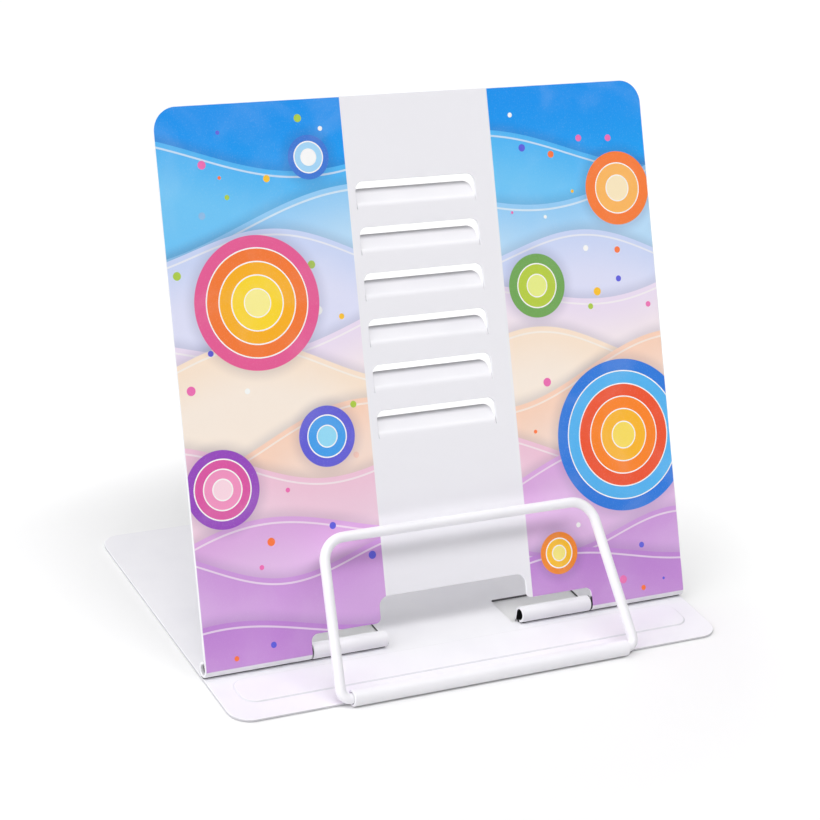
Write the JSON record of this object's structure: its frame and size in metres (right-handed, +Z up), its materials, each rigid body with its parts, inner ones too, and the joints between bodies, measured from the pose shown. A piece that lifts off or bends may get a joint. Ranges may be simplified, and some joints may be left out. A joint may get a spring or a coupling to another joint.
{
  "type": "book stand",
  "caption": "Folding sheet-steel book stand: a leaning back panel hinged on a flat base, with a wire page bail in front and a wire support leg behind.",
  "frame": {"origin": "on the underside of the base plate, straight below the middle of the main hinge", "axes": "+X to the reader's right, +Y to the rear, +Z up"},
  "size_m": [0.2, 0.139, 0.1847],
  "materials": {
    "white_coat": "gloss white powder coat",
    "printed_panel": "gloss white coat with a colour print",
    "pin_steel": "bright drawn wire"
  },
  "bodies": {
    "base": {"base_plate": "white_coat"},
    "panel": {"back_panel": "printed_panel", "left_hinge_pin": "pin_steel", "right_hinge_pin": "pin_steel"},
    "bail": {"page_bail": "white_coat"},
    "leg": {"support_leg": "white_coat"}
  },
  "joints": [
    {"name": "panel_tilt", "type": "hinge", "parent": "base", "child": "panel", "pos_m": [0, 0, 0.00418], "axis": [1, 0, 0], "range_deg": [0, 10]},
    {"name": "bail_swing", "type": "hinge", "parent": "base", "child": "bail", "pos_m": [0, -0.031, 0.00298], "axis": [1, 0, 0], "range_deg": [0, 130]},
    {"name": "leg_swing", "type": "hinge", "parent": "base", "child": "leg", "pos_m": [0, 0.075, 0.00418], "axis": [-1, 0, 0], "range_deg": [0, 123]}
  ]
}
